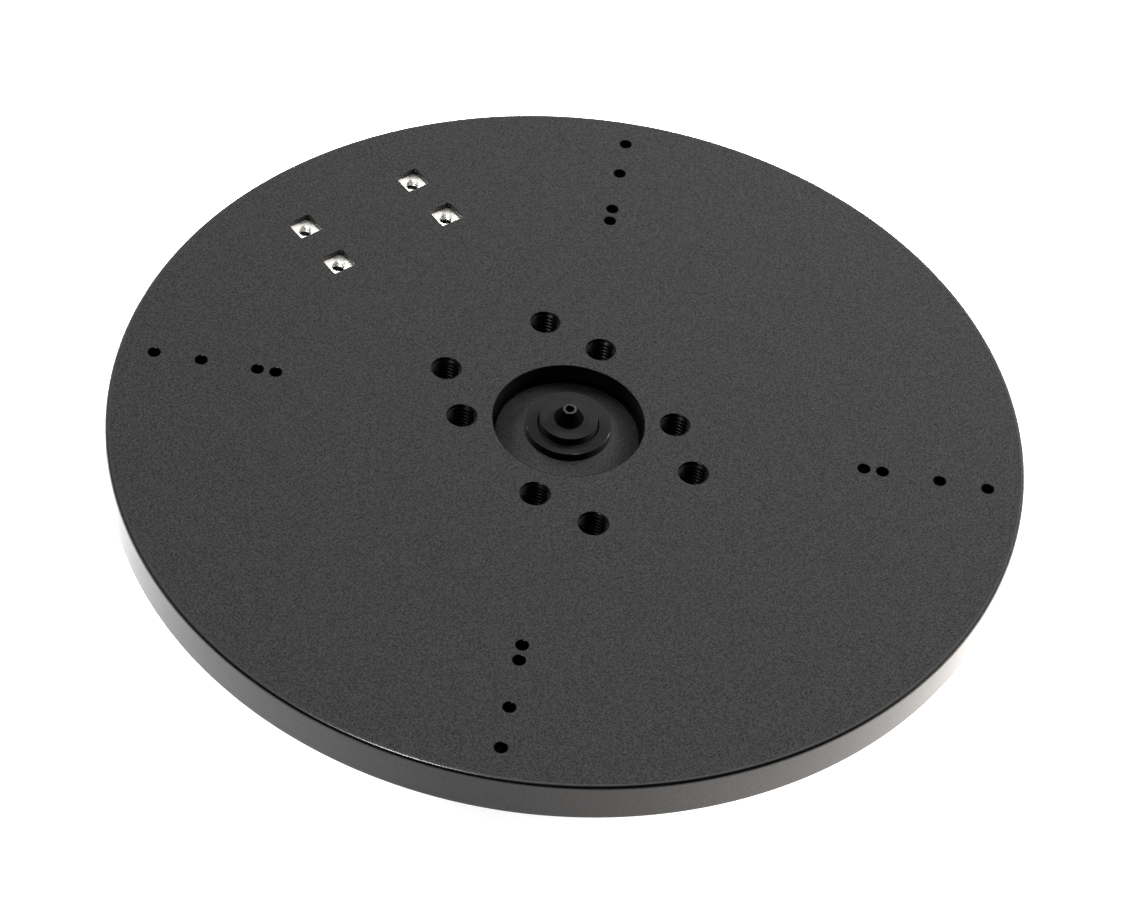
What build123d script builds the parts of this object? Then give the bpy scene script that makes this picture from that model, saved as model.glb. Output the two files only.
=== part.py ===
from build123d import *
import math
import os

# A low-profile banding wheel: a machined wheel head on a spindle that turns in two ball bearings.
# The origin is on the wheel's axis, at the surface that the feet stand on. +Z points up the axis.
# X and Y run along the sides of the rectangular hole patterns. All sizes are in millimetres.

# ---- wheel head ----
head_radius = 148.0
head_thickness = 15.0
head_top = 67.0
head_edge_chamfer = 1.0
recess_radius = 24.5
tapped_radius = 5.05  # M10
inner_pattern = (56.0, 40.0)
outer_pattern = (40.0, 80.0)
pin_hole_radius = 2.0
pin_circle_radii = (96.0, 102.0, 120.5, 136.0)
pin_row_angle = 45.0
nut_pattern = (44.0, 20.0)
nut_pattern_y = 110.0
nut_pocket_side = 8.5
nut_pocket_depth = 4.9
nut_bolt_hole_radius = 2.75
head_bottom = head_top - head_thickness

# ---- square nuts (thin, M5) ----
nut_side = 8.0
nut_height = 2.7
nut_thread_radius = 2.1
nut_countersink_radius = 2.6
nut_countersink_depth = 0.5

# ---- hub flange ----
flange_radius = 52.0
flange_thickness = 7.5
spigot_clearance = 0.05
cone_edge_radius = 23.3
cone_edge_drop = 7.0
cone_land_radius = 14.2
cone_land_drop = 4.36
boss_radius = 13.0
hub_bottom = head_bottom - flange_thickness
hub_land = head_top - cone_land_drop

# ---- spindle ----
shaft_radius = 9.99
seat_radius = 10.0
collar_radius = 13.9
collar_edge_drop = 1.4
collar_groove_radius = 10.0
collar_groove_drop = 2.0
step_radius = 9.45
step_rise = 1.05
nose_base_radius = 5.05
nose_tip_radius = 2.2
nose_rise = 5.3
centre_radius = 1.5
centre_pilot_radius = 0.6
centre_pilot_depth = 3.2
edge_break = 0.2

# ---- ball bearings (20 x 37 x 9) ----
race_radius = 18.5
bearing_width = 9.0
inner_shoulder_radius = 12.4
outer_shoulder_radius = 16.1
ball_radius = 2.38
ball_clearance = 0.05
ball_circle_radius = 14.25
ball_count = 11
cage_thickness = 1.4
cage_width = 6.4
cage_pocket_radius = 2.5
shield_thickness = 0.5
shield_inset = 0.3
shield_inner_radius = 12.8
race_edge = 0.5

# ---- stack of levels, from the surface up ----
foot_pocket_depth = 1.5
base_bottom = 5.0
lower_bearing_bottom = 15.0
bearing_gap = 5.0
housing_clearance = 0.01
upper_bearing_bottom = lower_bearing_bottom + bearing_width + bearing_gap
upper_bearing_top = upper_bearing_bottom + bearing_width

# ---- retaining ring and felt seal ----
ring_thickness = 1.5
ring_outer_radius = 19.4
ring_inner_radius = 16.6
ring_groove_radius = 19.5
ring_opening_angle = 34.0
ring_lug_radius = 2.0
ring_lug_hole_radius = 0.9
ring_lug_circle = 16.9
seal_ledge = 0.8
seal_height = 3.0
seal_outer_radius = 20.98
seal_seat_radius = 21.0
seal_clearance = 0.05
seal_bottom = upper_bearing_top + ring_thickness + seal_ledge
seal_top = seal_bottom + seal_height

# ---- tab washer and lock nut (M20 x 1) ----
washer_thickness = 1.0
washer_radius = 13.6
washer_tab_reach = 16.4
washer_tab_width = 3.6
washer_tab_count = 9
washer_bent_tab_length = 3.0
washer_inner_tab_reach = 8.4
keyway_width = 4.0
keyway_depth = 2.0
locknut_radius = 16.0
locknut_height = 6.0
locknut_slot_width = 4.0
locknut_slot_depth = 2.0
locknut_chamfer = 0.8
thread_radius = 9.9
spindle_end = 7.7
locknut_top = lower_bearing_bottom - washer_thickness
locknut_bottom = locknut_top - locknut_height

# ---- bearing housing ----
housing_radius = 27.0
housing_flange_radius = 46.0
housing_flange_bottom = 17.0
housing_flange_thickness = 7.0
housing_spigot_radius = 23.95
housing_spigot_bottom = 9.0
housing_shoulder_radius = 16.6
housing_fillet = 4.0
housing_top = seal_top + 0.1
housing_flange_top = housing_flange_bottom + housing_flange_thickness

# ---- base plate and cover ----
base_radius = 90.0
base_rim_top = 12.0
base_land_radius = 50.0
base_bore_radius = 24.0
base_chamfer = 1.5
cover_radius = 30.0
cover_thickness = 1.5
cover_pocket_radius = 30.2
cover_pocket_depth = 1.8
cover_top = base_bottom + cover_pocket_depth
cover_bottom = cover_top - cover_thickness

# ---- feet ----
foot_count = 4
foot_circle_radius = 76.0
foot_radius = 11.0
foot_tread_radius = 9.6
foot_pocket_radius = 11.2
foot_screw_seat = 3.4
foot_bore_radius = 4.3
foot_top = base_bottom + foot_pocket_depth

# ---- screws: thread radius, head radius, head height, hexagon across flats, hexagon depth ----
head_screw = (2.95, 5.0, 4.0, 4.0, 2.2)
head_screw_length = 12.0
head_screw_circle = 38.0
head_screw_recess = 4.3
head_screw_recess_radius = 5.3
housing_screw = (2.45, 4.25, 5.0, 4.0, 2.5)
housing_screw_length = 13.0
housing_screw_circle = 37.0
housing_screw_count = 6
foot_screw = (1.95, 3.8, 2.4, 2.5, 1.3)
foot_screw_length = 8.0
cover_screw_radius = 1.45
cover_screw_head_radius = 2.7
cover_screw_length = 6.0
cover_screw_hexagon = 2.0
cover_screw_circle = 27.1
cover_screw_count = 4
thread_clearance = 0.05
through_clearance = 0.3


def profile(*points):
    """A closed outline in the XZ plane, given as radius and height, ready to be turned about Z."""
    with BuildSketch(Plane.XZ) as outline:
        with BuildLine():
            Polyline(*points, close=True)
        make_face()
    return outline.sketch


def ring_section(inner, outer, low, high):
    """The plain rectangular section of a turned ring."""
    return profile((inner, low), (outer, low), (outer, high), (inner, high))


def hexagon_radius(across_flats):
    """The corner radius of a hexagon."""
    return across_flats / math.sqrt(3)


def write(piece, name):
    """Labels a finished piece and writes its STEP file."""
    piece.part.label = name
    export_step(piece.part, f"parts/{name}.step")


os.makedirs("parts", exist_ok=True)

# ---- wheel head: a chamfered disc with a bored centre and all its hole patterns ----
with BuildPart() as wheel_head:
    with BuildSketch(Plane.XY.offset(head_bottom)):
        Circle(head_radius)
    extrude(amount=head_thickness)
    chamfer(wheel_head.edges(), length=head_edge_chamfer)
    with Locations((0, 0, head_top)):
        Hole(recess_radius)
        with GridLocations(*inner_pattern, 2, 2):
            Hole(tapped_radius)
        with GridLocations(*outer_pattern, 2, 2):
            Hole(tapped_radius)
        for circle_radius in pin_circle_radii:
            with PolarLocations(circle_radius, 4, start_angle=pin_row_angle):
                Hole(pin_hole_radius)
    with Locations((0, nut_pattern_y, head_top)):
        with GridLocations(*nut_pattern, 2, 2):
            Hole(nut_bolt_hole_radius)
    with BuildSketch(Plane.XY.offset(head_top)):
        with Locations((0, nut_pattern_y)):
            with GridLocations(*nut_pattern, 2, 2):
                Rectangle(nut_pocket_side, nut_pocket_side)
    extrude(amount=-nut_pocket_depth, mode=Mode.SUBTRACT)
    with BuildSketch(Plane.XY.offset(head_bottom)):
        with PolarLocations(head_screw_circle, 4):
            Circle(head_screw[0] + thread_clearance)
    extrude(amount=head_screw_length - 1, mode=Mode.SUBTRACT)
write(wheel_head, "wheel_head")

# ---- square nuts: thin M5 nuts that lie on the floors of their pockets ----
nut_bottom = head_top - nut_pocket_depth
nut_top = nut_bottom + nut_height
with BuildPart() as square_nuts:
    with BuildSketch(Plane.XY.offset(nut_bottom)):
        with Locations((0, nut_pattern_y)):
            with GridLocations(*nut_pattern, 2, 2):
                Rectangle(nut_side, nut_side)
                Circle(nut_thread_radius, mode=Mode.SUBTRACT)
    extrude(amount=nut_height)
    with Locations((0, nut_pattern_y, nut_top - nut_countersink_depth / 2)):
        with GridLocations(*nut_pattern, 2, 2):
            Cone(
                nut_thread_radius,
                nut_countersink_radius,
                nut_countersink_depth,
                mode=Mode.SUBTRACT,
            )
write(square_nuts, "square_nuts")

# ---- hub flange: its spigot fills the head's bore and ends in a cone that sheds water and slip ----
with BuildPart() as hub_flange:
    spigot_radius = recess_radius - spigot_clearance
    cone_edge_top = head_top - cone_edge_drop
    revolve(
        profile(
            (seat_radius, upper_bearing_top),
            (boss_radius, upper_bearing_top),
            (boss_radius, hub_bottom),
            (flange_radius - head_edge_chamfer, hub_bottom),
            (flange_radius, hub_bottom + head_edge_chamfer),
            (flange_radius, head_bottom),
            (spigot_radius, head_bottom),
            (spigot_radius, cone_edge_top - spigot_radius + cone_edge_radius),
            (cone_edge_radius, cone_edge_top),
            (cone_land_radius, hub_land),
            (seat_radius, hub_land),
        ),
        axis=Axis.Z,
    )
    with BuildSketch(Plane.XY.offset(hub_bottom)):
        with PolarLocations(head_screw_circle, 4):
            Circle(head_screw_recess_radius)
    extrude(amount=head_screw_recess, mode=Mode.SUBTRACT)
    with BuildSketch(Plane.XY.offset(hub_bottom)):
        with PolarLocations(head_screw_circle, 4):
            Circle(head_screw[0] + through_clearance)
    extrude(amount=flange_thickness, mode=Mode.SUBTRACT)
write(hub_flange, "hub_flange")

# ---- head screws: low socket heads sunk into the flange's underside ----
head_screw_seat = hub_bottom + head_screw_recess
with BuildPart() as head_screws:
    thread, cap, cap_height, flats, socket_depth = head_screw
    with BuildSketch(Plane.XY.offset(head_screw_seat)):
        with PolarLocations(head_screw_circle, 4):
            Circle(cap)
    extrude(amount=-cap_height)
    with BuildSketch(Plane.XY.offset(head_screw_seat)):
        with PolarLocations(head_screw_circle, 4):
            Circle(thread)
    extrude(amount=head_screw_length)
    with BuildSketch(Plane.XY.offset(head_screw_seat - cap_height)):
        with PolarLocations(head_screw_circle, 4):
            RegularPolygon(hexagon_radius(flats), 6)
    extrude(amount=socket_depth, mode=Mode.SUBTRACT)
write(head_screws, "head_screws")

# ---- spindle: nose, step, grooved collar, plain shaft and threaded tail, turned in one piece ----
with BuildPart() as spindle:
    nose_top = head_top + nose_rise
    step_top = head_top + step_rise
    collar_top = head_top - collar_edge_drop
    centre_depth = (centre_radius - centre_pilot_radius) * math.sqrt(3)
    revolve(
        profile(
            (0, nose_top - centre_pilot_depth),
            (centre_pilot_radius, nose_top - centre_pilot_depth),
            (centre_pilot_radius, nose_top - centre_depth),
            (centre_radius, nose_top),
            (nose_tip_radius, nose_top),
            (nose_base_radius, step_top),
            (step_radius - edge_break, step_top),
            (step_radius, step_top - edge_break),
            (step_radius, head_top - collar_groove_drop),
            (collar_groove_radius, collar_top),
            (collar_radius - edge_break, collar_top),
            (collar_radius, collar_top - edge_break),
            (collar_radius, hub_land),
            (shaft_radius, hub_land),
            (shaft_radius, lower_bearing_bottom),
            (thread_radius, lower_bearing_bottom),
            (thread_radius, spindle_end + 1),
            (thread_radius - 1, spindle_end),
            (0, spindle_end),
        ),
        axis=Axis.Z,
    )
    with BuildSketch(Plane.XY.offset(spindle_end)):
        with Locations((shaft_radius, 0)):
            Rectangle(2 * keyway_depth, keyway_width)
    extrude(amount=lower_bearing_bottom - spindle_end, mode=Mode.SUBTRACT)
write(spindle, "spindle")


# ---- the two ball bearings ----
def build_bearing(place, bottom):
    """Builds one bearing: two grooved rings, balls, a cage and two shields, each as its own piece."""
    middle = bottom + bearing_width / 2
    top = bottom + bearing_width
    groove_radius = ball_radius + ball_clearance
    groove_plane = Plane.XZ

    with BuildPart() as inner_ring:
        revolve(
            profile(
                (seat_radius, bottom + race_edge),
                (seat_radius + race_edge, bottom),
                (inner_shoulder_radius, bottom),
                (inner_shoulder_radius, top),
                (seat_radius + race_edge, top),
                (seat_radius, top - race_edge),
            ),
            axis=Axis.Z,
        )
        with BuildSketch(groove_plane):
            with Locations((ball_circle_radius, middle)):
                Circle(groove_radius)
        revolve(axis=Axis.Z, mode=Mode.SUBTRACT)
    write(inner_ring, f"{place}_bearing_inner_ring")

    with BuildPart() as outer_ring:
        revolve(
            profile(
                (outer_shoulder_radius, bottom),
                (race_radius - race_edge, bottom),
                (race_radius, bottom + race_edge),
                (race_radius, top - race_edge),
                (race_radius - race_edge, top),
                (outer_shoulder_radius, top),
            ),
            axis=Axis.Z,
        )
        with BuildSketch(groove_plane):
            with Locations((ball_circle_radius, middle)):
                Circle(groove_radius)
        revolve(axis=Axis.Z, mode=Mode.SUBTRACT)
    write(outer_ring, f"{place}_bearing_outer_ring")

    with BuildPart() as balls:
        with Locations((0, 0, middle)):
            with PolarLocations(ball_circle_radius, ball_count):
                Sphere(ball_radius)
    write(balls, f"{place}_bearing_balls")

    with BuildPart() as cage:
        cage_inner = ball_circle_radius - cage_thickness / 2
        cage_outer = ball_circle_radius + cage_thickness / 2
        cage_low = middle - cage_width / 2
        revolve(ring_section(cage_inner, cage_outer, cage_low, cage_low + cage_width), axis=Axis.Z)
        with Locations((0, 0, middle)):
            with PolarLocations(ball_circle_radius, ball_count):
                Cylinder(
                    cage_pocket_radius,
                    2 * cage_thickness,
                    rotation=(0, 90, 0),
                    mode=Mode.SUBTRACT,
                )
    write(cage, f"{place}_bearing_cage")

    with BuildPart() as shields:
        for low in (bottom + shield_inset, top - shield_inset - shield_thickness):
            with BuildSketch(Plane.XY.offset(low)):
                Circle(outer_shoulder_radius)
                Circle(shield_inner_radius, mode=Mode.SUBTRACT)
            extrude(amount=shield_thickness)
    write(shields, f"{place}_bearing_shields")


build_bearing("lower", lower_bearing_bottom)
build_bearing("upper", upper_bearing_bottom)

# ---- bearing spacer: keeps the inner rings apart ----
with BuildPart() as bearing_spacer:
    spacer_low = lower_bearing_bottom + bearing_width
    section = ring_section(seat_radius, inner_shoulder_radius, spacer_low, upper_bearing_bottom)
    revolve(section, axis=Axis.Z)
write(bearing_spacer, "bearing_spacer")

# ---- retaining ring: an open ring with two eyes, over the upper bearing's outer ring ----
with BuildPart() as retaining_ring:
    with BuildSketch(Plane.XY.offset(upper_bearing_top)):
        Circle(ring_outer_radius)
        Circle(ring_inner_radius, mode=Mode.SUBTRACT)
        with BuildLine():
            far = 2 * ring_outer_radius
            half_opening = math.radians(ring_opening_angle / 2)
            corner_x = far * math.cos(half_opening)
            corner_y = far * math.sin(half_opening)
            Polyline((0, 0), (corner_x, -corner_y), (corner_x, corner_y), close=True)
        make_face(mode=Mode.SUBTRACT)
        for side in (-1, 1):
            eye_angle = side * (ring_opening_angle / 2 + 6)
            with PolarLocations(ring_lug_circle, 1, start_angle=eye_angle):
                Circle(ring_lug_radius)
                Circle(ring_lug_hole_radius, mode=Mode.SUBTRACT)
    extrude(amount=ring_thickness)
write(retaining_ring, "retaining_ring")

# ---- felt seal: lies in the housing's mouth and wipes the hub's boss ----
with BuildPart() as felt_seal:
    seal_inner_radius = boss_radius + seal_clearance
    revolve(ring_section(seal_inner_radius, seal_outer_radius, seal_bottom, seal_top), axis=Axis.Z)
write(felt_seal, "felt_seal")

# ---- tab washer: one tab in the spindle's keyway, one bent down into a slot of the nut ----
with BuildPart() as tab_washer:
    with BuildSketch(Plane.XY.offset(locknut_top)):
        Circle(washer_radius)
        tab_length = washer_tab_reach - washer_radius + 1
        tab_middle = washer_tab_reach - tab_length / 2
        with PolarLocations(tab_middle, washer_tab_count, start_angle=360 / washer_tab_count):
            Rectangle(tab_length, washer_tab_width)
        Circle(seat_radius, mode=Mode.SUBTRACT)
        inner_tab_length = seat_radius + 1 - washer_inner_tab_reach
        with Locations((washer_inner_tab_reach + inner_tab_length / 2, 0)):
            Rectangle(inner_tab_length, washer_tab_width)
    extrude(amount=washer_thickness)
    bent_tab_x = locknut_radius - locknut_slot_depth + washer_thickness / 2 + thread_clearance
    with BuildSketch(Plane.XY.offset(locknut_top)):
        with Locations((bent_tab_x, 0)):
            Rectangle(washer_thickness, washer_tab_width)
    extrude(amount=-washer_bent_tab_length)
write(tab_washer, "tab_washer")

# ---- lock nut: a slotted round nut that clamps washer, rings, spacer and hub against the collar ----
with BuildPart() as lock_nut:
    with BuildSketch(Plane.XY.offset(locknut_bottom)):
        Circle(locknut_radius)
    extrude(amount=locknut_height)
    chamfer(lock_nut.edges(), length=locknut_chamfer)
    with Locations((0, 0, locknut_top)):
        Hole(thread_radius + thread_clearance)
    with BuildSketch(Plane.XY.offset(locknut_bottom)):
        with PolarLocations(locknut_radius, 4):
            Rectangle(2 * locknut_slot_depth, locknut_slot_width)
    extrude(amount=locknut_height, mode=Mode.SUBTRACT)
write(lock_nut, "lock_nut")

# ---- bearing housing: both bearing seats, the ring's groove, the seal's seat and a bolted flange ----
with BuildPart() as bearing_housing:
    seat = race_radius + housing_clearance
    ring_groove_top = upper_bearing_top + ring_thickness
    revolve(
        profile(
            (seat, housing_spigot_bottom),
            (housing_spigot_radius, housing_spigot_bottom),
            (housing_spigot_radius, housing_flange_bottom),
            (housing_flange_radius, housing_flange_bottom),
            (housing_flange_radius, housing_flange_top),
            (housing_radius, housing_flange_top),
            (housing_radius, housing_top),
            (seal_seat_radius, housing_top),
            (seal_seat_radius, seal_bottom),
            (seat, seal_bottom),
            (seat, ring_groove_top),
            (ring_groove_radius, ring_groove_top),
            (ring_groove_radius, upper_bearing_top),
            (seat, upper_bearing_top),
            (seat, upper_bearing_bottom),
            (housing_shoulder_radius, upper_bearing_bottom),
            (housing_shoulder_radius, upper_bearing_bottom - bearing_gap),
            (seat, upper_bearing_bottom - bearing_gap),
        ),
        axis=Axis.Z,
    )
    rim_edges = bearing_housing.edges().filter_by(GeomType.CIRCLE)
    outer_edges = rim_edges.filter_by(lambda edge: edge.radius == housing_flange_radius)
    top_edge = rim_edges.filter_by(lambda edge: edge.radius == housing_radius).sort_by(Axis.Z)[-1]
    chamfer([*outer_edges, top_edge], length=head_edge_chamfer)
    root_edges = bearing_housing.edges().filter_by(GeomType.CIRCLE)
    root = root_edges.filter_by(lambda edge: edge.radius == housing_radius).sort_by(Axis.Z)[0]
    fillet(root, radius=housing_fillet)
    with Locations((0, 0, housing_flange_top)):
        with PolarLocations(housing_screw_circle, housing_screw_count, start_angle=30):
            Hole(housing_screw[0] + through_clearance, depth=housing_flange_thickness + 1)
write(bearing_housing, "bearing_housing")

# ---- housing screws: socket head screws through the housing's flange ----
with BuildPart() as housing_screws:
    thread, cap, cap_height, flats, socket_depth = housing_screw
    with BuildSketch(Plane.XY.offset(housing_flange_top)):
        with PolarLocations(housing_screw_circle, housing_screw_count, start_angle=30):
            Circle(cap)
    extrude(amount=cap_height)
    with BuildSketch(Plane.XY.offset(housing_flange_top)):
        with PolarLocations(housing_screw_circle, housing_screw_count, start_angle=30):
            Circle(thread)
    extrude(amount=-housing_screw_length)
    with BuildSketch(Plane.XY.offset(housing_flange_top + cap_height)):
        with PolarLocations(housing_screw_circle, housing_screw_count, start_angle=30):
            RegularPolygon(hexagon_radius(flats), 6)
    extrude(amount=-socket_depth, mode=Mode.SUBTRACT)
write(housing_screws, "housing_screws")

# ---- base plate: a heavy disc with a sloping top, pockets for cover and feet, and tapped holes ----
with BuildPart() as base_plate:
    revolve(
        profile(
            (base_bore_radius, cover_top),
            (cover_pocket_radius, cover_top),
            (cover_pocket_radius, base_bottom),
            (base_radius - base_chamfer, base_bottom),
            (base_radius, base_bottom + base_chamfer),
            (base_radius, base_rim_top - base_chamfer),
            (base_radius - base_chamfer, base_rim_top),
            (base_land_radius, housing_flange_bottom),
            (base_bore_radius, housing_flange_bottom),
        ),
        axis=Axis.Z,
    )
    with BuildSketch(Plane.XY.offset(base_bottom)):
        with PolarLocations(foot_circle_radius, foot_count, start_angle=45):
            Circle(foot_pocket_radius)
    extrude(amount=foot_pocket_depth, mode=Mode.SUBTRACT)
    with BuildSketch(Plane.XY.offset(base_bottom)):
        with PolarLocations(foot_circle_radius, foot_count, start_angle=45):
            Circle(foot_screw[0] + thread_clearance)
    extrude(amount=foot_screw_seat + foot_screw_length + 0.5 - base_bottom, mode=Mode.SUBTRACT)
    with BuildSketch(Plane.XY.offset(cover_top)):
        with PolarLocations(cover_screw_circle, cover_screw_count, start_angle=45):
            Circle(cover_screw_radius + thread_clearance)
    extrude(amount=cover_screw_length, mode=Mode.SUBTRACT)
    with BuildSketch(Plane.XY.offset(housing_flange_bottom)):
        with PolarLocations(housing_screw_circle, housing_screw_count, start_angle=30):
            Circle(housing_screw[0] + thread_clearance)
    extrude(amount=housing_flange_thickness - housing_screw_length - 1, mode=Mode.SUBTRACT)
write(base_plate, "base_plate")

# ---- bottom cover: a flat sheet disc with countersunk holes ----
with BuildPart() as bottom_cover:
    with BuildSketch(Plane.XY.offset(cover_bottom)):
        Circle(cover_radius)
    extrude(amount=cover_thickness)
    with Locations(Location((0, 0, cover_bottom), (180, 0, 0))):
        with PolarLocations(cover_screw_circle, cover_screw_count, start_angle=45):
            CounterSinkHole(
                cover_screw_radius + thread_clearance,
                cover_screw_head_radius + thread_clearance,
                counter_sink_angle=90,
            )
write(bottom_cover, "bottom_cover")

# ---- cover screws: countersunk, flush with the cover ----
with BuildPart() as cover_screws:
    cone_height = cover_screw_head_radius - cover_screw_radius
    with Locations((0, 0, cover_bottom + cone_height / 2)):
        with PolarLocations(cover_screw_circle, cover_screw_count, start_angle=45):
            Cone(cover_screw_head_radius, cover_screw_radius, cone_height)
    with BuildSketch(Plane.XY.offset(cover_bottom + cone_height)):
        with PolarLocations(cover_screw_circle, cover_screw_count, start_angle=45):
            Circle(cover_screw_radius)
    extrude(amount=cover_screw_length - cone_height)
    with BuildSketch(Plane.XY.offset(cover_bottom)):
        with PolarLocations(cover_screw_circle, cover_screw_count, start_angle=45):
            RegularPolygon(hexagon_radius(cover_screw_hexagon), 6)
    extrude(amount=cone_height, mode=Mode.SUBTRACT)
write(cover_screws, "cover_screws")

# ---- feet: tapered rubber pads with a sunk screw seat ----
for number in range(foot_count):
    foot_angle = math.radians(45 + number * 360 / foot_count)
    foot_x = foot_circle_radius * math.cos(foot_angle)
    foot_y = foot_circle_radius * math.sin(foot_angle)
    with BuildPart() as foot:
        with BuildSketch(Plane((foot_x, foot_y, 0))):
            Circle(foot_tread_radius)
        with BuildSketch(Plane((foot_x, foot_y, base_bottom))):
            Circle(foot_radius)
        loft()
        with BuildSketch(Plane((foot_x, foot_y, base_bottom))):
            Circle(foot_radius)
        extrude(amount=foot_pocket_depth)
        with Locations(Location((foot_x, foot_y, 0), (180, 0, 0))):
            CounterBoreHole(foot_screw[0] + through_clearance, foot_bore_radius, foot_screw_seat)
    write(foot, f"foot_{number + 1}")

# ---- foot screws: low round heads that stay clear of the surface ----
with BuildPart() as foot_screws:
    thread, cap, cap_height, flats, socket_depth = foot_screw
    with BuildSketch(Plane.XY.offset(foot_screw_seat)):
        with PolarLocations(foot_circle_radius, foot_count, start_angle=45):
            Circle(cap)
    extrude(amount=-cap_height)
    with BuildSketch(Plane.XY.offset(foot_screw_seat)):
        with PolarLocations(foot_circle_radius, foot_count, start_angle=45):
            Circle(thread)
    extrude(amount=foot_screw_length)
    with BuildSketch(Plane.XY.offset(foot_screw_seat - cap_height)):
        with PolarLocations(foot_circle_radius, foot_count, start_angle=45):
            RegularPolygon(hexagon_radius(flats), 6)
    extrude(amount=socket_depth, mode=Mode.SUBTRACT)
write(foot_screws, "foot_screws")
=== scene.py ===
import math

import bmesh
import bpy
from mathutils import Euler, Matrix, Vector


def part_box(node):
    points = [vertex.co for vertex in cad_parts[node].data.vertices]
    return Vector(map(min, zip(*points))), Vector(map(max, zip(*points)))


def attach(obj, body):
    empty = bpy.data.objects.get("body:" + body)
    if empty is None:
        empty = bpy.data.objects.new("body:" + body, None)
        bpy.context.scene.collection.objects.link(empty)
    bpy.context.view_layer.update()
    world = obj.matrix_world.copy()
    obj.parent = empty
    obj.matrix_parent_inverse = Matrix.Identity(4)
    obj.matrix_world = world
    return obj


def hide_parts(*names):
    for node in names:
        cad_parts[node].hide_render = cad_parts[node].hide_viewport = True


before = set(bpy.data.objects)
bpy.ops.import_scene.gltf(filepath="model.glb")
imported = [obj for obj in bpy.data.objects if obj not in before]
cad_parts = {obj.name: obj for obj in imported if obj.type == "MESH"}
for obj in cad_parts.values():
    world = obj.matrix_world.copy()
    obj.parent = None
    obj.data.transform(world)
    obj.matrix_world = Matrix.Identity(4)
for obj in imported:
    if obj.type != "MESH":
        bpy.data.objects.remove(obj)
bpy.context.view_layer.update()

MM = 0.001

# ---- places, read from the frame ----
head_low, head_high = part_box("wheel_head")
top_z = head_high.z
bottom_z = head_low.z
head_radius = (head_high.x - head_low.x) / 2
nuts_low, nuts_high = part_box("square_nuts")
spindle_low, spindle_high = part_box("spindle")
lock_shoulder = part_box("lower_bearing_inner_ring")[0].z

# ---- wheel head sizes ----
edge = 0.15 * MM  # how far a small edge round reaches
edge_bend = 0.35  # where its middle lies, as a share of that reach
support = 0.1 * MM  # a flat strip beside each round keeps the shading of big faces true
upper_round = 1.3 * MM
lower_round = 1.0 * MM
round_steps = 8
rim_segments = 720
recess_segments = 360
hole_segments = 72
small_segments = 40
recess_radius = 24.5 * MM
pin_radius = 2.0 * MM
pin_circles = (96.0 * MM, 102.0 * MM, 120.5 * MM, 136.0 * MM)
pin_row_angle = 45
tapped_radius = 5.05 * MM
tapped_patterns = ((28 * MM, 20 * MM), (20 * MM, 40 * MM))
tapped_lip = 0.25 * MM
m10_thread = (5.0 * MM, 4.22 * MM, 1.5 * MM)  # major radius, minor radius, pitch
nut_pattern = (22 * MM, 10 * MM)
nut_pattern_y = 110 * MM
nut_hole_radius = 2.75 * MM
pocket_half = 4.25 * MM
pocket_corner = 0.45 * MM
corner_steps = 4
head_screw_circle = 38 * MM
head_screw_radius = 3.05 * MM
head_screw_depth = 11.0 * MM

# ---- square nut sizes ----
nut_half = 4.0 * MM
nut_face_radius = 5.3 * MM
nut_cropped_corner = 0.3 * MM
nut_opening = 2.6 * MM
nut_lip = 0.05 * MM
nut_edge = 0.1 * MM
nut_small_edge = 0.02 * MM
nut_crown_slope = math.tan(math.radians(30))
nut_base_radius = nut_face_radius + 1.0 * MM
nut_base_slope = nut_crown_slope / 2
nut_segments = 96
m5_thread = (2.5 * MM, 2.08 * MM, 0.8 * MM)  # major radius, minor radius, pitch

# ---- spindle sizes ----
nose_tip_radius = 2.2 * MM
nose_base_radius = 5.05 * MM
centre_radius = 1.5 * MM
centre_depth = 1.56 * MM
pilot_radius = 0.6 * MM
pilot_depth = 3.2 * MM
step_radius = 9.45 * MM
step_top = top_z + 1.05 * MM
groove_radius = 10.0 * MM
groove_floor = top_z - 2.0 * MM
collar_radius = 13.9 * MM
collar_top = top_z - 1.4 * MM
hub_land = top_z - 4.36 * MM
shaft_radius = 9.99 * MM
thread_radius = 9.9 * MM
tail_chamfer = 1.0 * MM
keyway_half = 2.0 * MM
keyway_depth = 2.0 * MM
spindle_edge = 0.13 * MM
spindle_segments = 360


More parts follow.
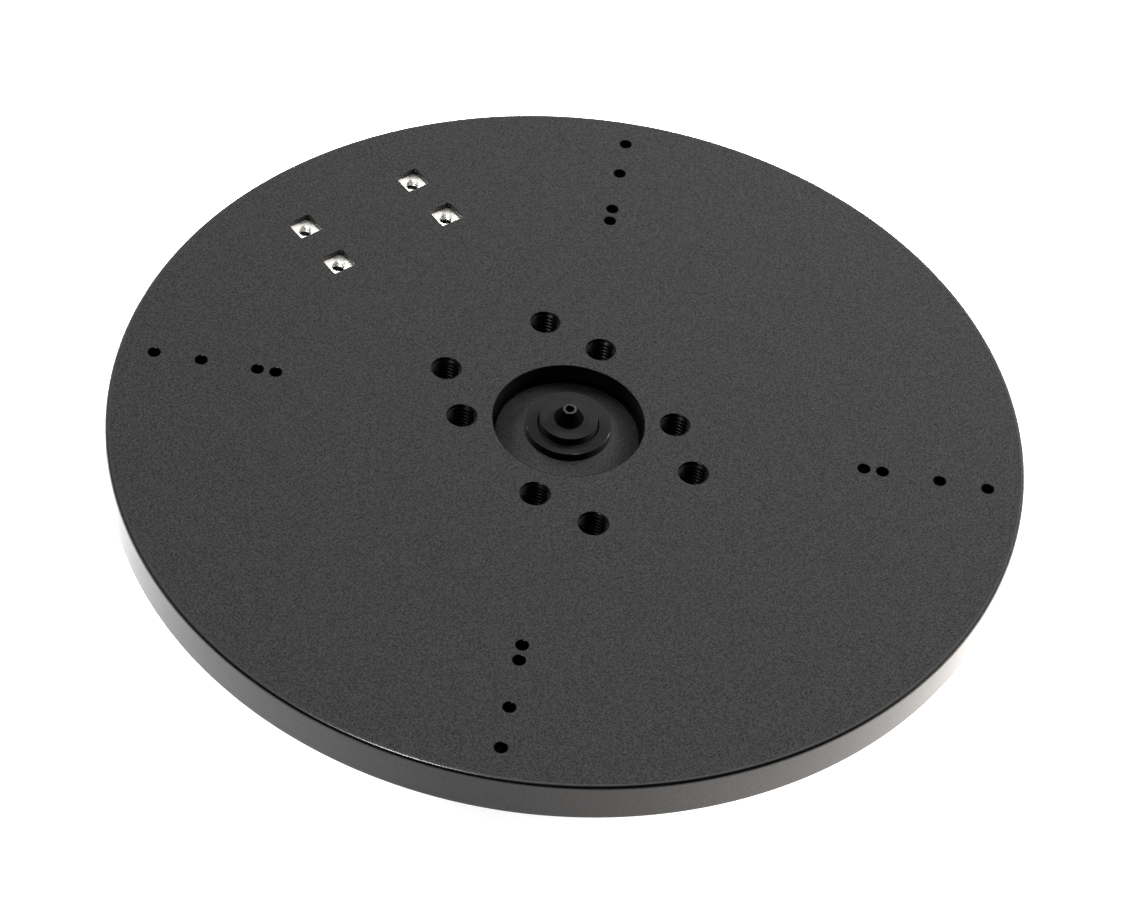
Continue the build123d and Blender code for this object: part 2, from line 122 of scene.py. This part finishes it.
# ---- materials ----
class Finish:
    """A node material: its tree, shader and a shared object-space position."""

    def __init__(self, name):
        self.made = bpy.data.materials.new(name)
        self.made.use_nodes = True
        self.tree = self.made.node_tree
        self.shader = self.tree.nodes["Principled BSDF"]
        self.position = self.node("ShaderNodeTexCoord").outputs["Object"]
        self.last_bump = None

    def node(self, kind, **settings):
        made = self.tree.nodes.new(kind)
        for key, value in settings.items():
            setattr(made, key, value)
        return made

    def link(self, source, target):
        self.tree.links.new(source, target)

    def stretched(self, scale):
        """The position, scaled along each axis."""
        mapping = self.node("ShaderNodeMapping")
        mapping.inputs["Scale"].default_value = scale
        self.link(self.position, mapping.inputs["Vector"])
        return mapping.outputs["Vector"]

    def height(self):
        """Height above the surface that the feet stand on."""
        parts = self.node("ShaderNodeSeparateXYZ")
        self.link(self.position, parts.inputs[0])
        return parts.outputs["Z"]

    def radius(self):
        """Distance from the wheel's axis."""
        flat = self.node("ShaderNodeVectorMath", operation="MULTIPLY")
        self.link(self.position, flat.inputs[0])
        flat.inputs[1].default_value = (1, 1, 0)
        length = self.node("ShaderNodeVectorMath", operation="LENGTH")
        self.link(flat.outputs[0], length.inputs[0])
        return length.outputs["Value"]

    def polar(self):
        """Position as (radius, 0, z): features run round the wheel's axis."""
        out = self.node("ShaderNodeCombineXYZ")
        self.link(self.radius(), out.inputs["X"])
        self.link(self.height(), out.inputs["Z"])
        return out.outputs[0]

    def noise(self, vector, scale, detail=2.0, roughness=0.5):
        made = self.node("ShaderNodeTexNoise")
        made.inputs["Scale"].default_value = scale
        made.inputs["Detail"].default_value = detail
        made.inputs["Roughness"].default_value = roughness
        self.link(vector, made.inputs["Vector"])
        return made.outputs["Fac"]

    def remap(self, value, low, high, start=0.3, end=0.7):
        """Turns start into low and end into high, and holds those values outside."""
        made = self.node("ShaderNodeMapRange")
        self.link(value, made.inputs["Value"])
        made.inputs["From Min"].default_value = start
        made.inputs["From Max"].default_value = end
        made.inputs["To Min"].default_value = low
        made.inputs["To Max"].default_value = high
        return made.outputs["Result"]

    def math(self, operation, one, other):
        """A math node over two links."""
        made = self.node("ShaderNodeMath", operation=operation)
        self.link(one, made.inputs[0])
        self.link(other, made.inputs[1])
        return made.outputs[0]

    def colors(self, value, low, high):
        """Mixes two colours by a value and drives the base colour with them."""
        mix = self.node("ShaderNodeMix", data_type="RGBA")
        self.link(self.remap(value, 0.0, 1.0), mix.inputs["Factor"])
        mix.inputs["A"].default_value = (*low, 1)
        mix.inputs["B"].default_value = (*high, 1)
        self.link(mix.outputs["Result"], self.shader.inputs["Base Color"])
        return mix.outputs["Result"]

    def roughness(self, value, low, high):
        self.link(self.remap(value, low, high), self.shader.inputs["Roughness"])

    def gloss(self, level):
        """Drives how strongly the surface mirrors."""
        self.link(level, self.shader.inputs["Specular IOR Level"])

    def bump(self, value, strength, distance):
        """Adds one layer of bump over the layers before it."""
        made = self.node("ShaderNodeBump")
        made.inputs["Strength"].default_value = strength
        made.inputs["Distance"].default_value = distance
        self.link(value, made.inputs["Height"])
        if self.last_bump is not None:
            self.link(self.last_bump, made.inputs["Normal"])
        self.last_bump = made.outputs["Normal"]
        self.link(self.last_bump, self.shader.inputs["Normal"])

    def set(self, **values):
        for key, value in values.items():
            self.shader.inputs[key.replace("_", " ")].default_value = value
        return self


def anodised(name, dark, light, rough, grain, specular):
    """Black anodised aluminium: a fine matt grain over faint turning marks."""
    finish = Finish(name)
    grains = finish.noise(finish.position, scale=1900.0, detail=1.0)
    clouds = finish.noise(finish.position, scale=110.0, detail=3.0)
    turning = finish.noise(finish.polar(), scale=3500.0, detail=1.0)
    rough_spread = 0.008
    gloss_spread = 0.36 * grain
    finish.colors(grains, dark, light)
    finish.roughness(clouds, rough - rough_spread, rough + rough_spread)
    finish.bump(grains, strength=0.30 * grain, distance=0.12 * MM)
    finish.bump(turning, strength=0.06, distance=0.05 * MM)
    finish.level = finish.remap(
        grains, specular * (1 - gloss_spread), specular * (1 + gloss_spread)
    )
    finish.gloss(finish.level)
    return finish


def turned_metal(name, color, shade, rough, metallic=1.0, grooves=0.12, specular=0.5):
    """Turned or ground metal: grooves round the axis, with slight staining."""
    finish = Finish(name)
    stains = finish.noise(finish.position, scale=160.0, detail=4.0)
    turning = finish.noise(finish.polar(), scale=5200.0)
    specks = finish.noise(finish.position, scale=3200.0)
    rings = finish.noise(finish.polar(), scale=1100.0, detail=3.0, roughness=0.7)
    finish.tint = finish.colors(stains, color, shade)
    finish.roughness(turning, rough * 0.8, rough * 1.25)
    finish.bump(turning, strength=grooves, distance=0.06 * MM)
    finish.bump(specks, strength=0.08, distance=0.04 * MM)
    finish.level = finish.remap(rings, specular * 0.7, specular * 1.35)
    finish.gloss(finish.level)
    finish.set(Metallic=metallic)
    return finish


def plated(name, color, shade, rough, metallic=1.0):
    """Zinc plating: a soft spangle under small marks."""
    finish = Finish(name)
    spangle = finish.noise(finish.position, scale=420.0, detail=3.0)
    marks = finish.noise(
        finish.stretched((1.0, 1.0, 6.0)), scale=1800.0, detail=3.0, roughness=0.65
    )
    finish.colors(spangle, color, shade)
    finish.roughness(marks, rough * 0.75, rough * 1.3)
    finish.bump(marks, strength=0.18, distance=0.06 * MM)
    finish.set(Metallic=metallic)
    return finish


def coated(name, dark, light, rough, pits, depth):
    """A textured coating or moulded surface: lumps of one size, with fine pits."""
    finish = Finish(name)
    lumps = finish.noise(finish.position, scale=pits)
    fine = finish.noise(finish.position, scale=pits * 4, roughness=0.6)
    rough_spread = 0.06
    finish.colors(lumps, dark, light)
    finish.roughness(fine, rough - rough_spread, rough + rough_spread)
    finish.bump(lumps, strength=0.35, distance=depth)
    finish.bump(fine, strength=0.15, distance=depth / 3)
    return finish


def felted(name, dark, light):
    """Pressed wool felt: tangled fibres."""
    finish = Finish(name)
    fibres = finish.noise(
        finish.stretched((1.0, 1.0, 3.0)), scale=1500.0, detail=5.0, roughness=0.75
    )
    tufts = finish.noise(finish.position, scale=260.0, detail=3.0)
    finish.colors(tufts, dark, light)
    finish.roughness(fibres, 0.85, 1.0)
    finish.bump(fibres, strength=0.8, distance=0.3 * MM)
    finish.set(Sheen_Weight=0.4)
    return finish


def worn(finish, mask, color, rough):
    """Mixes bare metal over a finish where the mask is 1."""
    bare = finish.node("ShaderNodeBsdfPrincipled")
    bare.inputs["Base Color"].default_value = (*color, 1)
    bare.inputs["Metallic"].default_value = 1.0
    bare.inputs["Roughness"].default_value = rough
    finish.link(finish.last_bump, bare.inputs["Normal"])
    mix = finish.node("ShaderNodeMixShader")
    finish.link(mask, mix.inputs["Fac"])
    finish.link(finish.shader.outputs["BSDF"], mix.inputs[1])
    finish.link(bare.outputs["BSDF"], mix.inputs[2])
    output = finish.tree.nodes["Material Output"]
    finish.link(mix.outputs[0], output.inputs["Surface"])


def grey(level):
    return (level, level, level)


# The tapped threads and the recess's bore wall get a darker colour and far less gloss than the plate:
# painted shade inside the holes and the recess.
thread_painted_shade = turned_metal(
    "anodised_thread_painted_shade", grey(0.0006), grey(0.001),
    rough=0.22, metallic=0.0, grooves=0.1, specular=0.075,
)
bore_painted_shade = turned_metal(
    "anodised_bore_painted_shade", grey(0.0006), grey(0.001),
    rough=0.2, metallic=0.0, grooves=0.1, specular=0.1,
)
plate_black = anodised(
    "anodised_plate", (0.0012, 0.0012, 0.0014), (0.0022, 0.0022, 0.0024),
    rough=0.36, grain=1.4, specular=0.475,
)
rim_black = anodised(
    "anodised_rim", grey(0.0008), grey(0.0014), rough=0.24, grain=0.5, specular=0.32
)
hub_black = anodised(
    "anodised_hub", (0.006, 0.006, 0.0062), (0.009, 0.009, 0.0093),
    rough=0.5, grain=1.2, specular=0.31,
)
nose_black = turned_metal(
    "blackened_steel", (0.0036, 0.0036, 0.0038), (0.005, 0.005, 0.0052),
    rough=0.24, metallic=0.0, grooves=0.16, specular=0.085,
)
screw_black = turned_metal(
    "blackened_screws", (0.03, 0.03, 0.032), grey(0.05), rough=0.38, metallic=0.6, grooves=0.05
)
ground_steel = turned_metal("ground_steel", (0.55, 0.55, 0.57), (0.62, 0.61, 0.6), rough=0.22)
ball_steel = turned_metal(
    "ball_steel", (0.72, 0.72, 0.74), (0.78, 0.78, 0.79), rough=0.08, grooves=0.02
)
cage_brass = turned_metal("cage_brass", (0.62, 0.44, 0.17), (0.72, 0.54, 0.25), rough=0.28)
zinc = plated("zinc_plating", (0.62, 0.61, 0.58), (0.74, 0.73, 0.69), rough=0.26)
nut_zinc = plated(
    "nut_plating", (0.78, 0.77, 0.72), (0.88, 0.87, 0.82), rough=0.38, metallic=0.65
)
iron_coat = coated(
    "iron_powder_coat", (0.012, 0.012, 0.013), (0.022, 0.022, 0.024),
    rough=0.48, pits=900.0, depth=0.25 * MM,
)
rubber = coated(
    "moulded_rubber", grey(0.012), (0.022, 0.021, 0.02), rough=0.75, pits=1600.0, depth=0.1 * MM
)
felt = felted("wool_felt", (0.32, 0.30, 0.27), (0.48, 0.46, 0.42))

# The spindle's lip is mixed to bare steel: wear, and a painted highlight for the bright ring at its
# tip.
height = nose_black.height()
chips = nose_black.noise(nose_black.position, scale=1500.0, detail=3.0, roughness=0.7)
lip = nose_black.remap(
    height, 0.0, 0.3, start=spindle_high.z - 0.12 * MM, end=spindle_high.z - 0.02 * MM
)
lip_chips = nose_black.remap(chips, 0.3, 1.0, start=0.35, end=0.6)
worn_lip_and_highlight = nose_black.math("MULTIPLY", lip, lip_chips)

# Its collar's edge is mixed to bare steel in patches: wear, and a painted highlight for the glints
# along it.
near_edge = nose_black.remap(
    nose_black.radius(), 0.0, 0.5, start=collar_radius - 0.4 * MM, end=collar_radius - 0.2 * MM
)
on_ledge = nose_black.remap(
    height, 0.0, 1.0, start=collar_top - 0.3 * MM, end=collar_top - 0.1 * MM
)
edge_band = nose_black.math("MULTIPLY", near_edge, on_ledge)
patches = nose_black.noise(nose_black.position, scale=110.0)
rubbed_and_highlight_patches = nose_black.remap(patches, 0.0, 1.0, start=0.58, end=0.68)
worn_edge_and_highlight = nose_black.math("MULTIPLY", edge_band, rubbed_and_highlight_patches)
wear_and_highlight_places = nose_black.math("MAXIMUM", worn_lip_and_highlight, worn_edge_and_highlight)
worn(nose_black, wear_and_highlight_places, (0.35, 0.35, 0.34), rough=0.3)

# Its cone's colour and gloss are scaled down from the turned faces under it: painted shade that darkens
# the cone.
cone_shade = nose_black.remap(height, 1.0, 0.12, start=top_z + 1.1 * MM, end=top_z + 1.4 * MM)
nose_black.gloss(nose_black.math("MULTIPLY", nose_black.level, cone_shade))
shaded = nose_black.node("ShaderNodeVectorMath", operation="SCALE")
nose_black.link(nose_black.tint, shaded.inputs[0])
nose_black.link(cone_shade, shaded.inputs["Scale"])
nose_black.link(shaded.outputs[0], nose_black.shader.inputs["Base Color"])

# The head's rounded upper edge is made up to 2.5 times glossier than its face: polish from handling,
# and a painted highlight line along the edge.
edge_gloss_and_highlight = rim_black.remap(
    rim_black.radius(), 2.5, 1.0, start=head_radius - 1.0 * MM, end=head_radius - 0.75 * MM
)
rim_black.gloss(rim_black.math("MULTIPLY", rim_black.level, edge_gloss_and_highlight))

node_finish = {
    "wheel_head": plate_black,
    "hub_flange": hub_black,
    "bearing_housing": plate_black,
    "spindle": nose_black,
    "square_nuts": nut_zinc,
    "head_screws": screw_black,
    "housing_screws": screw_black,
    "retaining_ring": screw_black,
    "lock_nut": screw_black,
    "bearing_spacer": ground_steel,
    "tab_washer": zinc,
    "bottom_cover": zinc,
    "cover_screws": zinc,
    "foot_screws": zinc,
    "felt_seal": felt,
    "base_plate": iron_coat,
}
for bearing in ("upper_bearing", "lower_bearing"):
    node_finish[bearing + "_inner_ring"] = ground_steel
    node_finish[bearing + "_outer_ring"] = ground_steel
    node_finish[bearing + "_balls"] = ball_steel
    node_finish[bearing + "_cage"] = cage_brass
    node_finish[bearing + "_shields"] = zinc
for foot in ("foot_1", "foot_2", "foot_3", "foot_4"):
    node_finish[foot] = rubber
for name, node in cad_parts.items():
    node.data.materials.clear()
    node.data.materials.append(node_finish[name].made)


# ---- shapes ----
def new_object(name, data):
    made = bpy.data.objects.new(name, data)
    bpy.context.scene.collection.objects.link(made)
    return made


def finished_mesh(name, mesh, *finishes):
    """Closes up a bmesh, smooths it between sharp edges and makes it an object."""
    weld_distance = 1e-7
    sliver_length = 1e-8
    sharp_angle = math.radians(28.0)
    bmesh.ops.remove_doubles(mesh, verts=mesh.verts, dist=weld_distance)
    bmesh.ops.dissolve_degenerate(mesh, edges=mesh.edges, dist=sliver_length)
    loose = [side for side in mesh.edges if not side.link_faces]
    bmesh.ops.delete(mesh, geom=loose, context="EDGES")
    bmesh.ops.recalc_face_normals(mesh, faces=mesh.faces)
    data = bpy.data.meshes.new(name)
    mesh.to_mesh(data)
    mesh.free()
    data.shade_smooth()
    data.set_sharp_from_angle(angle=sharp_angle)
    for finish in finishes:
        data.materials.append(finish.made)
    return new_object(name, data)


def skin(mesh, rings, finish_index=0):
    """Joins equal rings of points with quads."""
    rows = [[mesh.verts.new(point) for point in ring] for ring in rings]
    for near, far in zip(rows, rows[1:]):
        count = len(near)
        for i in range(count):
            j = (i + 1) % count
            face = mesh.faces.new((near[i], near[j], far[j], far[i]))
            face.material_index = finish_index
    return rows


def circle(cx, cy, radius, z, count):
    ring = []
    for i in range(count):
        angle = 2 * math.pi * i / count
        ring.append(Vector((cx + radius * math.cos(angle), cy + radius * math.sin(angle), z)))
    return ring


def rounded_square(cx, cy, half, corner, z):
    """A square loop with small round corners."""
    points = []
    for quarter in range(4):
        side_x = 1 if quarter in (0, 3) else -1
        side_y = 1 if quarter in (0, 1) else -1
        for step in range(corner_steps + 1):
            angle = math.radians(90) * (quarter + step / corner_steps)
            x = (half - corner) * side_x + corner * math.cos(angle)
            y = (half - corner) * side_y + corner * math.sin(angle)
            points.append(Vector((cx + x, cy + y, z)))
    return points


def fill_between(mesh, loops):
    """Fills one flat face with holes: the first loop is the outline."""
    sides = []
    for loop in loops:
        verts = [mesh.verts.new(point) for point in loop]
        for a, b in zip(verts, verts[1:] + verts[:1]):
            sides.append(mesh.edges.new((a, b)))
    bmesh.ops.triangle_fill(mesh, edges=sides, use_beauty=True, use_dissolve=False)


def threaded_wall(cx, cy, thread, high, low, count, opening):
    """A helical inside thread between two heights. Each end is countersunk to the opening's radius."""
    major, minor, pitch = thread
    countersink_slope = 2
    profile = ((0.0, major), (0.12, major), (0.5, minor), (0.62, minor))
    turns = int((high - low) / pitch) + 2
    rings = []
    for step in range(-len(profile), turns * len(profile) + 1):
        phase, radius = profile[step % len(profile)]
        level = step // len(profile) + phase
        ring = []
        for i in range(count):
            angle = 2 * math.pi * i / count
            z = low + (level + i / count) * pitch - pitch
            z = min(max(z, low), high)
            here = max(radius, opening - countersink_slope * min(high - z, z - low))
            ring.append(Vector((cx + here * math.cos(angle), cy + here * math.sin(angle), z)))
        rings.append(ring)
    return rings


def eased(points, size):
    """A closed (r, z) outline whose corners are rounded over about this size."""
    on_axis = 1e-9
    longest_share = 0.4
    support_share = 1.2
    curve_steps = 3
    out = []
    count = len(points)
    for i, point in enumerate(points):
        here = Vector(point)
        if here.x < on_axis:
            out.append(here)
            continue
        before = Vector(points[i - 1]) - here
        after = Vector(points[(i + 1) % count]) - here
        reach = min(size, before.length * longest_share, after.length * longest_share)
        start = here + before.normalized() * reach
        end = here + after.normalized() * reach
        out.append(here + before.normalized() * reach * support_share)
        for step in range(curve_steps + 1):
            t = step / curve_steps
            out.append((1 - t) ** 2 * start + 2 * t * (1 - t) * here + t * t * end)
        out.append(here + after.normalized() * reach * support_share)
    return out


def lathe(name, outline, finish, segments, ease):
    """Turns a closed (r, z) outline about the axis."""
    mesh = bmesh.new()
    rings = [circle(0, 0, point.x, point.y, segments) for point in eased(outline, ease)]
    rings.append(rings[0])
    skin(mesh, rings)
    return finished_mesh(name, mesh, finish)


def carve(target, low, high):
    """Cuts a box out of a piece."""
    cutter_mesh = bmesh.new()
    bmesh.ops.create_cube(cutter_mesh, size=1.0)
    for vert in cutter_mesh.verts:
        vert.co = Vector(low[i] + (vert.co[i] + 0.5) * (high[i] - low[i]) for i in range(3))
    data = bpy.data.meshes.new("cutter")
    cutter_mesh.to_mesh(data)
    cutter_mesh.free()
    cutter = new_object("cutter", data)
    cut = target.modifiers.new("cut", "BOOLEAN")
    cut.operation = "DIFFERENCE"
    cut.solver = "EXACT"
    cut.object = cutter
    view = bpy.context.evaluated_depsgraph_get()
    carved = bpy.data.meshes.new_from_object(target.evaluated_get(view))
    target.modifiers.clear()
    bpy.data.objects.remove(cutter)
    target.data = carved


# ---- wheel head: turned rim, drilled and tapped plate ----
signs = (-1, 1)
tapped_places = [
    (side_x * x, side_y * y) for x, y in tapped_patterns for side_x in signs for side_y in signs
]
pin_places = []
for pin_circle in pin_circles:
    for quarter in range(4):
        row = math.radians(pin_row_angle + 90 * quarter)
        pin_places.append((pin_circle * math.cos(row), pin_circle * math.sin(row)))
nut_places = [
    (side_x * nut_pattern[0], nut_pattern_y + side_y * nut_pattern[1])
    for side_x in signs
    for side_y in signs
]
head_screw_places = [
    (head_screw_circle, 0.0),
    (0.0, head_screw_circle),
    (-head_screw_circle, 0.0),
    (0.0, -head_screw_circle),
]
bores = [(0, 0, recess_radius, recess_segments)]
bores += [(x, y, pin_radius, small_segments) for x, y in pin_places]


def rim_rings():
    """The head's outer edge, from its top face round to its bottom face."""
    turns = [math.radians(90 * step / round_steps) for step in range(round_steps + 1)]
    outline = [(upper_round + support, top_z)]
    for turn in turns:
        drop = upper_round * (1 - math.cos(turn))
        outline.append((upper_round * (1 - math.sin(turn)), top_z - drop))
    outline.append((0, top_z - upper_round - support))
    outline.append((0, bottom_z + lower_round + support))
    for turn in turns:
        rise = lower_round * (1 - math.sin(turn))
        outline.append((lower_round * (1 - math.cos(turn)), bottom_z + rise))
    outline.append((lower_round + support, bottom_z))
    return [circle(0, 0, head_radius - inward, z, rim_segments) for inward, z in outline]


def bore_rings(cx, cy, radius, count):
    """A through hole with eased edges, from the top face to the bottom face."""
    levels = [
        (radius + edge + support, top_z),
        (radius + edge, top_z),
        (radius + edge * edge_bend, top_z - edge * edge_bend),
        (radius, top_z - edge),
        (radius, top_z - edge - support),
        (radius, bottom_z + edge + support),
        (radius, bottom_z + edge),
        (radius + edge * edge_bend, bottom_z + edge * edge_bend),
        (radius + edge, bottom_z),
        (radius + edge + support, bottom_z),
    ]
    return [circle(cx, cy, r, z, count) for r, z in levels]


def tapped_rings(cx, cy):
    """A threaded through hole, from the bottom face to the top face."""
    lip_top = top_z - tapped_lip
    lip_bottom = bottom_z + tapped_lip
    thread = threaded_wall(
        cx, cy, m10_thread, lip_top, lip_bottom, hole_segments, tapped_radius
    )
    return [
        circle(cx, cy, tapped_radius, bottom_z, hole_segments),
        *thread,
        circle(cx, cy, tapped_radius, top_z, hole_segments),
    ]


def pocket_rings(cx, cy):
    """A square pocket for a nut, from the top face to its floor."""
    levels = [
        (edge + support, top_z),
        (edge, top_z),
        (edge * edge_bend, top_z - edge * edge_bend),
        (0, top_z - edge),
        (0, top_z - edge - support),
        (0, nuts_low.z),
    ]
    return [
        rounded_square(cx, cy, pocket_half + outward, pocket_corner + outward, z)
        for outward, z in levels
    ]


def build_wheel_head():
    plate_part, rim_part, tapped_part, bore_part = range(4)
    mesh = bmesh.new()
    rim = rim_rings()
    skin(mesh, rim, rim_part)
    top_loops = [rim[0]]
    bottom_loops = [rim[-1]]

    for cx, cy, radius, count in bores:
        hole = bore_rings(cx, cy, radius, count)
        skin(mesh, hole, bore_part)
        top_loops.append(hole[0])
        bottom_loops.append(hole[-1])

    for cx, cy in tapped_places:
        hole = tapped_rings(cx, cy)
        skin(mesh, hole, tapped_part)
        bottom_loops.append(hole[0])
        top_loops.append(hole[-1])

    for cx, cy in nut_places:
        pocket = pocket_rings(cx, cy)
        skin(mesh, pocket, plate_part)
        top_loops.append(pocket[0])
        through = [
            circle(cx, cy, nut_hole_radius, nuts_low.z, small_segments),
            circle(cx, cy, nut_hole_radius, bottom_z + edge, small_segments),
            circle(cx, cy, nut_hole_radius + edge, bottom_z, small_segments),
        ]
        skin(mesh, through, plate_part)
        fill_between(mesh, [pocket[-1], through[0]])
        bottom_loops.append(through[-1])

    for cx, cy in head_screw_places:
        hole = [
            circle(cx, cy, head_screw_radius, bottom_z, small_segments),
            circle(cx, cy, head_screw_radius, bottom_z + head_screw_depth, small_segments),
        ]
        rows = skin(mesh, hole, plate_part)
        mesh.faces.new(rows[-1])
        bottom_loops.append(hole[0])

    fill_between(mesh, top_loops)
    fill_between(mesh, bottom_loops)
    return finished_mesh("head_plate", mesh, plate_black, rim_black, thread_painted_shade, bore_painted_shade)


head_plate = build_wheel_head()
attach(head_plate, "head")
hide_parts("wheel_head")


# ---- square nuts: cropped corners and a cut thread ----
def build_nut(mesh, cx, cy):
    high = nuts_high.z
    low = nuts_low.z
    thread = threaded_wall(
        cx, cy, m5_thread, high - nut_small_edge, low + nut_small_edge, nut_segments, nut_opening
    )
    outer = []
    for i in range(nut_segments):
        angle = 2 * math.pi * i / nut_segments
        reach = nut_half / max(abs(math.cos(angle)), abs(math.sin(angle)))
        reach = min(reach, nut_half * math.sqrt(2) - nut_cropped_corner)
        outer.append((angle, reach))

    def level_ring(radius, z):
        return circle(cx, cy, radius, z, nut_segments)

    def square_ring(inward, height_at, rise):
        """A loop at the nut's outline, drawn in by a little, at a height that follows its reach."""
        ring = []
        for angle, reach in outer:
            r = reach - inward
            z = height_at(r) + rise
            ring.append(Vector((cx + r * math.cos(angle), cy + r * math.sin(angle), z)))
        return ring

    def upper(reach):
        return high - max(0.0, reach - nut_face_radius) * nut_crown_slope

    def lower(reach):
        return low + max(0.0, reach - nut_base_radius) * nut_base_slope

    rings = [
        level_ring(nut_opening + nut_lip, low),
        *thread,
        level_ring(nut_opening + nut_lip, high),
        level_ring(nut_face_radius - nut_edge, high),
        level_ring(nut_face_radius + nut_small_edge, high - nut_small_edge),
        square_ring(nut_edge, upper, 0.0),
        square_ring(0.0, upper, -nut_edge),
        square_ring(0.0, lower, nut_edge),
        square_ring(nut_edge, lower, 0.0),
        level_ring(nut_opening + nut_lip, low),
    ]
    skin(mesh, rings)


nut_mesh = bmesh.new()
for nut_x, nut_y in nut_places:
    build_nut(nut_mesh, nut_x, nut_y)
nuts = finished_mesh("threaded_nuts", nut_mesh, nut_zinc)
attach(nuts, "head")
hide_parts("square_nuts")

# ---- spindle: the CAD outline with rounded edges, and its keyway ----
spindle_outline = [
    (0.0, spindle_high.z - pilot_depth),
    (pilot_radius, spindle_high.z - pilot_depth),
    (pilot_radius, spindle_high.z - centre_depth),
    (centre_radius, spindle_high.z),
    (nose_tip_radius, spindle_high.z),
    (nose_base_radius, step_top),
    (step_radius, step_top),
    (step_radius, groove_floor),
    (groove_radius, collar_top),
    (collar_radius, collar_top),
    (collar_radius, hub_land),
    (shaft_radius, hub_land),
    (shaft_radius, lock_shoulder),
    (thread_radius, lock_shoulder),
    (thread_radius, spindle_low.z + tail_chamfer),
    (thread_radius - tail_chamfer, spindle_low.z),
    (0.0, spindle_low.z),
]
turned_spindle = lathe(
    "turned_spindle", spindle_outline, nose_black, spindle_segments, spindle_edge
)
carve(
    turned_spindle,
    (shaft_radius - keyway_depth, -keyway_half, spindle_low.z - keyway_depth),
    (shaft_radius + keyway_depth, keyway_half, lock_shoulder),
)
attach(turned_spindle, "head")
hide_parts("spindle")

# ---- camera ----
camera_azimuth = math.radians(-131.43)
camera_elevation = math.radians(46.235)
camera_distance = 1.0862
camera_aim = Vector((-0.0095, -0.0101, top_z))
camera_roll = math.radians(6.72)
camera_data = bpy.data.cameras.new("camera")
camera_data.sensor_width = 36
camera_data.lens = 108.03
camera_data.shift_x = -0.00098
camera_data.shift_y = 0.00093
camera = new_object("camera", camera_data)
direction = Vector((
    math.cos(camera_elevation) * math.cos(camera_azimuth),
    math.cos(camera_elevation) * math.sin(camera_azimuth),
    math.sin(camera_elevation),
))
camera.location = Vector((0, 0, top_z)) + direction * camera_distance
look = (camera_aim - camera.location).to_track_quat("-Z", "Y")
camera.rotation_mode = "QUATERNION"
camera.rotation_quaternion = look @ Euler((0, 0, camera_roll)).to_quaternion()
bpy.context.scene.camera = camera

# ---- floor: pale paper that glows slightly, so that it stays white beside the wheel ----
floor_size = 8
bpy.ops.mesh.primitive_plane_add(size=floor_size)
floor = bpy.context.object
floor.name = "floor"
paper = Finish("floor_paper")
fibres = paper.noise(paper.position, scale=300.0, detail=3.0)
paper.colors(fibres, grey(0.48), grey(0.52))
paper.roughness(fibres, 0.8, 0.95)
paper.set(Specular_IOR_Level=0.1, Emission_Color=(1, 1, 1, 1), Emission_Strength=0.8)
floor.data.materials.append(paper.made)

# ---- room: a bright wall and ceiling behind the wheel, dark behind the camera, dimmer on the left ----
camera_side = Vector((direction.x, direction.y, 0)).normalized()
right_of_camera = Vector((0, 0, 1)).cross(camera_side)
world = bpy.data.worlds.new("studio")
world.use_nodes = True
sky = world.node_tree
background = sky.nodes["Background"]
toward = sky.nodes.new("ShaderNodeTexCoord")


def sky_slope(along, start, end, low, high):
    """A smooth step of brightness along one direction across the sky."""
    part = sky.nodes.new("ShaderNodeVectorMath")
    part.operation = "DOT_PRODUCT"
    sky.links.new(toward.outputs["Generated"], part.inputs[0])
    part.inputs[1].default_value = along
    step = sky.nodes.new("ShaderNodeMapRange")
    step.interpolation_type = "SMOOTHSTEP"
    sky.links.new(part.outputs["Value"], step.inputs["Value"])
    step.inputs["From Min"].default_value = start
    step.inputs["From Max"].default_value = end
    step.inputs["To Min"].default_value = low
    step.inputs["To Max"].default_value = high
    return step.outputs["Result"]


across = sky_slope(camera_side, start=-0.09, end=0.2, low=1.26, high=0.07)
sideways = sky_slope(right_of_camera, start=-0.25, end=0.1, low=0.62, high=1.0)
product = sky.nodes.new("ShaderNodeMath")
product.operation = "MULTIPLY"
sky.links.new(across, product.inputs[0])
sky.links.new(sideways, product.inputs[1])
sky.links.new(product.outputs[0], background.inputs["Strength"])
background.inputs["Color"].default_value = (1, 1, 1, 1)
bpy.context.scene.world = world

# ---- lamps ----
lamp_target = Vector((0, 0, 0.03))


def lamp(name, turn, elevation, distance, size, power, color, mirrored):
    """A square light that faces the wheel, placed by its turn from the camera, in degrees.

    A mirrored lamp only makes glints. The others light matt surfaces and stay out of reflections.
    """
    data = bpy.data.lights.new(name, "AREA")
    data.shape = "SQUARE"
    data.size = size
    data.energy = power
    data.color = color
    made = new_object(name, data)
    turn = math.radians(turn)
    elevation = math.radians(elevation)
    level = camera_side * math.cos(turn) + right_of_camera * math.sin(turn)
    made.location = (level * math.cos(elevation) + Vector((0, 0, math.sin(elevation)))) * distance
    made.rotation_mode = "QUATERNION"
    made.rotation_quaternion = (lamp_target - made.location).to_track_quat("-Z", "Y")
    made.visible_glossy = mirrored
    made.visible_diffuse = not mirrored


lamp(
    "left_softbox", turn=-130, elevation=22, distance=0.72, size=0.4,
    power=38, color=(1, 1, 1), mirrored=False,
)
lamp(
    "right_softbox", turn=126, elevation=22, distance=0.72, size=0.4,
    power=61, color=(1, 0.945, 0.89), mirrored=False,
)
lamp(
    "key_lamp", turn=-46, elevation=70, distance=1.3, size=0.12,
    power=11.0, color=(1, 0.98, 0.94), mirrored=True,
)
bpy.context.scene.view_settings.view_transform = "Standard"
